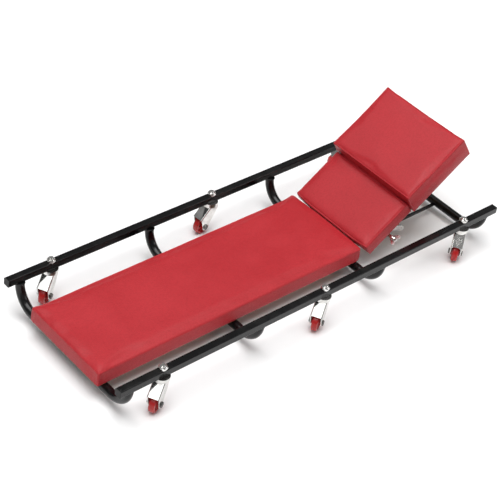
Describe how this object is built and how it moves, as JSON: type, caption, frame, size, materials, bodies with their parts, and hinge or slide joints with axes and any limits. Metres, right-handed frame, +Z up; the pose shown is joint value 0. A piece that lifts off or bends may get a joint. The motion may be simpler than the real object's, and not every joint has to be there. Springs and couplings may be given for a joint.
{
  "type": "mechanics creeper",
  "caption": "Low wheeled creeper with raised square side rails, dropped tube cross members, a red vinyl body pad, a tilting padded headrest and red swivel casters.",
  "frame": {"origin": "on the floor, under the middle of the bounding box", "axes": "+X towards the head end, +Y towards the left of a person lying face up with their head at +X's end, +Z up"},
  "size_m": [1.016, 0.4136, 0.2516],
  "materials": {
    "black_paint": "gloss black enamel",
    "zinc": "bright zinc plate, stamped and slightly cloudy",
    "dark_zinc": "dull dark zinc plate",
    "bearing_steel": "polished",
    "wheel_red": "moulded, satin gloss",
    "plug_black": "fine matt",
    "vinyl_red": "fine-grained vinyl cover, satin",
    "board": "unpainted fibreboard"
  },
  "bodies": {
    "frame": {"side_rail_left": "black_paint", "side_rail_right": "black_paint", "end_plugs": "plug_black", "cross_tube_foot": "black_paint", "cross_tube_hip": "black_paint", "cross_tube_shoulder": "black_paint", "cross_tube_head": "black_paint", "support_rod_left": "black_paint", "support_rod_right": "black_paint", "body_board": "board", "body_pad": "vinyl_red", "pad_screws": "zinc", "hinge_lugs": "black_paint", "hinge_pins": "zinc", "kingpins": "zinc", "upper_races": "zinc", "stem_washers": "zinc", "stem_nuts": "zinc"},
    "headrest": {"headrest_board": "board", "headrest_cushion": "vinyl_red", "headrest_pillow": "vinyl_red", "headrest_bracket_left": "zinc", "headrest_bracket_right": "zinc", "bracket_screws": "zinc", "clamp_rod": "zinc", "clamp_sleeve": "zinc", "clamp_washers": "zinc"},
    "wing_nut": {"wing_nut": "zinc"},
    "prop": {"prop_leg_left": "zinc", "prop_leg_right": "zinc", "prop_foot_rod": "zinc"},
    "swivel_foot_right": {"fork_foot_right": "zinc", "axle_foot_right": "dark_zinc", "race_balls_foot_right": "bearing_steel"},
    "roller_foot_right": {"wheel_foot_right": "wheel_red"},
    "swivel_middle_right": {"fork_middle_right": "zinc", "axle_middle_right": "dark_zinc", "race_balls_middle_right": "bearing_steel"},
    "roller_middle_right": {"wheel_middle_right": "wheel_red"},
    "swivel_head_right": {"fork_head_right": "zinc", "axle_head_right": "dark_zinc", "race_balls_head_right": "bearing_steel"},
    "roller_head_right": {"wheel_head_right": "wheel_red"},
    "swivel_foot_left": {"fork_foot_left": "zinc", "axle_foot_left": "dark_zinc", "race_balls_foot_left": "bearing_steel"},
    "roller_foot_left": {"wheel_foot_left": "wheel_red"},
    "swivel_middle_left": {"fork_middle_left": "zinc", "axle_middle_left": "dark_zinc", "race_balls_middle_left": "bearing_steel"},
    "roller_middle_left": {"wheel_middle_left": "wheel_red"},
    "swivel_head_left": {"fork_head_left": "zinc", "axle_head_left": "dark_zinc", "race_balls_head_left": "bearing_steel"},
    "roller_head_left": {"wheel_head_left": "wheel_red"}
  },
  "joints": [
    {"name": "headrest_tilt", "type": "hinge", "parent": "frame", "child": "headrest", "pos_m": [0.1985, 0, 0.031], "axis": [0, -1, 0], "range_deg": [-34.3, 5.7]},
    {"name": "wing_nut_turn", "type": "hinge", "parent": "headrest", "child": "wing_nut", "pos_m": [0.25944, -0.118, 0.0641], "axis": [0, -1, 0], "continuous": true},
    {"name": "prop_fold", "type": "hinge", "parent": "headrest", "child": "prop", "pos_m": [0.25944, 0, 0.0641], "axis": [0, -1, 0], "range_deg": [-10, 60]},
    {"name": "swivel_turn_foot_right", "type": "hinge", "parent": "frame", "child": "swivel_foot_right", "pos_m": [-0.406, -0.1765, 0.0674], "axis": [0, 0, 1], "continuous": true},
    {"name": "wheel_spin_foot_right", "type": "hinge", "parent": "swivel_foot_right", "child": "roller_foot_right", "pos_m": [-0.42322, -0.18565, 0.02], "axis": [0.4695, -0.8829, 0], "continuous": true},
    {"name": "swivel_turn_middle_right", "type": "hinge", "parent": "frame", "child": "swivel_middle_right", "pos_m": [0, -0.1765, 0.0674], "axis": [0, 0, 1], "continuous": true},
    {"name": "wheel_spin_middle_right", "type": "hinge", "parent": "swivel_middle_right", "child": "roller_middle_right", "pos_m": [-0.01689, -0.18625, 0.02], "axis": [0.5, -0.866, 0], "continuous": true},
    {"name": "swivel_turn_head_right", "type": "hinge", "parent": "frame", "child": "swivel_head_right", "pos_m": [0.406, -0.1765, 0.0674], "axis": [0, 0, 1], "continuous": true},
    {"name": "wheel_spin_head_right", "type": "hinge", "parent": "swivel_head_right", "child": "roller_head_right", "pos_m": [0.39043, -0.18824, 0.02], "axis": [0.6018, -0.7986, 0], "continuous": true},
    {"name": "swivel_turn_foot_left", "type": "hinge", "parent": "frame", "child": "swivel_foot_left", "pos_m": [-0.406, 0.1765, 0.0674], "axis": [0, 0, 1], "continuous": true},
    {"name": "wheel_spin_foot_left", "type": "hinge", "parent": "swivel_foot_left", "child": "roller_foot_left", "pos_m": [-0.42289, 0.16675, 0.02], "axis": [0.5, -0.866, 0], "continuous": true},
    {"name": "swivel_turn_middle_left", "type": "hinge", "parent": "frame", "child": "swivel_middle_left", "pos_m": [0, 0.1765, 0.0674], "axis": [0, 0, 1], "continuous": true},
    {"name": "wheel_spin_middle_left", "type": "hinge", "parent": "swivel_middle_left", "child": "roller_middle_left", "pos_m": [-0.01939, 0.17446, 0.02], "axis": [0.1045, -0.9945, 0], "continuous": true},
    {"name": "swivel_turn_head_left", "type": "hinge", "parent": "frame", "child": "swivel_head_left", "pos_m": [0.406, 0.1765, 0.0674], "axis": [0, 0, 1], "continuous": true},
    {"name": "wheel_spin_head_left", "type": "hinge", "parent": "swivel_head_left", "child": "roller_head_left", "pos_m": [0.39043, 0.18824, 0.02], "axis": [-0.6018, -0.7986, 0], "continuous": true}
  ],
  "couplings": [
    {"joint": "prop_fold", "follows": "headrest_tilt", "ratio": -1.749}
  ]
}
